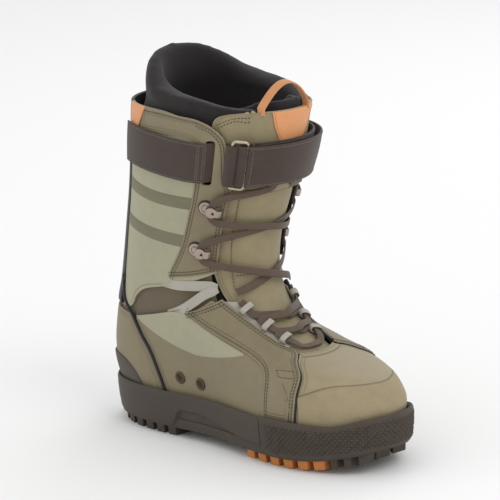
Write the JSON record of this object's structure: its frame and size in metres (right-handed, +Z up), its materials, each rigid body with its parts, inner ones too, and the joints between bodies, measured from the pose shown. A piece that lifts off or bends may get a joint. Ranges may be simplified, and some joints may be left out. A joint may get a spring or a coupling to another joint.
{
  "type": "snowboard boot",
  "caption": "Lace-up snowboard boot with a leather shell, padded liner, hook lacing, power strap through a metal ring, and a lugged cupsole.",
  "frame": {"origin": "middle of the boot's footprint on the ground", "axes": "+X to the toe, +Y to the lateral side of a left boot, +Z up"},
  "size_m": [0.3159, 0.1328, 0.322],
  "materials": {
    "olive_leather": "satin pebbled leather",
    "sage_leather": "smooth synthetic leather",
    "band_leather": "smooth synthetic leather",
    "black_trim": "satin",
    "dark_fabric": "stretch softshell",
    "webbing_pale": "woven nylon webbing",
    "strap_webbing": "woven nylon webbing",
    "lace_cord": "flat braided lace",
    "orange_leather": "smooth synthetic leather",
    "orange_webbing": "woven tape",
    "liner_fabric": "brushed fleece over foam",
    "foam": "EVA foam",
    "gel": "soft gel",
    "board": "fibre board",
    "plastic_black": "moulded",
    "outsole_rubber": "matte rubber",
    "heel_rubber": "matte rubber",
    "tread_rubber": "matte rubber",
    "hook_steel": "plated steel",
    "ring_steel": "plated wire",
    "vent_metal": "dark eyelet"
  },
  "bodies": {
    "lower_boot": {"outsole": "outsole_rubber", "toe_bumper": "outsole_rubber", "heel_tread": "outsole_rubber", "forefoot_tread": "tread_rubber", "heel_rubber_cap": "heel_rubber", "shank": "plastic_black", "toe_puff": "plastic_black", "heel_stiffener": "plastic_black", "midsole": "foam", "footbed": "foam", "heel_cushion": "gel", "lasting_board": "board", "vamp": "olive_leather", "heel_counter": "olive_leather", "tongue_gusset": "olive_leather", "vent_rear": "vent_metal", "vent_front": "vent_metal", "ankle_gusset": "dark_fabric", "liner_foot": "liner_fabric", "liner_ankle": "liner_fabric", "lace_lower": "lace_cord", "quarter_medial": "olive_leather", "lower_eyestay_medial": "olive_leather", "ankle_panel_medial": "sage_leather", "heel_piping_medial": "black_trim", "lace_loops_medial": "webbing_pale", "quarter_lateral": "olive_leather", "lower_eyestay_lateral": "olive_leather", "ankle_panel_lateral": "sage_leather", "heel_piping_lateral": "black_trim", "lace_loops_lateral": "webbing_pale"},
    "cuff": {"back_stay": "black_trim", "tongue": "olive_leather", "tongue_patch": "orange_leather", "liner_cuff": "liner_fabric", "liner_tongue": "liner_fabric", "strap_anchor": "strap_webbing", "strap_base": "strap_webbing", "shaft_panel_medial": "sage_leather", "upper_eyestay_medial": "olive_leather", "collar_tab_medial": "orange_leather", "shaft_band_upper_medial": "band_leather", "shaft_band_lower_medial": "band_leather", "lace_hook_lower_medial": "hook_steel", "lace_hook_upper_medial": "hook_steel", "lace_upper_medial": "lace_cord", "ankle_webbing_medial": "webbing_pale", "shaft_panel_lateral": "sage_leather", "upper_eyestay_lateral": "olive_leather", "collar_tab_lateral": "orange_leather", "shaft_band_upper_lateral": "band_leather", "shaft_band_lower_lateral": "band_leather", "lace_hook_lower_lateral": "hook_steel", "lace_hook_upper_lateral": "hook_steel", "lace_upper_lateral": "lace_cord", "ankle_webbing_lateral": "webbing_pale"},
    "ring": {"strap_ring": "ring_steel", "strap_fold": "strap_webbing"},
    "strap_tail": {"strap_tail": "strap_webbing"},
    "pull_loop": {"tongue_pull_loop": "orange_webbing"}
  },
  "joints": [
    {"name": "cuff_flex", "type": "hinge", "parent": "lower_boot", "child": "cuff", "pos_m": [-0.0823, 0, 0.112], "axis": [0, 1, 0], "range_deg": [-3, 12], "stiffness_Nm_per_rad": 25, "deforming": ["ankle_gusset", "tongue_gusset", "liner_ankle", "ankle_webbing_medial", "ankle_webbing_lateral", "lace_upper_medial", "lace_upper_lateral"]},
    {"name": "ring_swivel", "type": "hinge", "parent": "cuff", "child": "ring", "pos_m": [0.02077, -0.04894, 0.23777], "axis": [-0.2911, 0.0854, -0.9529], "range_deg": [0, 20]},
    {"name": "strap_peel", "type": "hinge", "parent": "ring", "child": "strap_tail", "pos_m": [0.03299, -0.04342, 0.23527], "axis": [-0.2979, 0.0664, -0.9523], "range_deg": [0, 70]},
    {"name": "loop_flop", "type": "hinge", "parent": "cuff", "child": "pull_loop", "pos_m": [0.04909, -0.00777, 0.27972], "axis": [0.1474, 0.9891, -0.003], "range_deg": [-18, 30]}
  ]
}
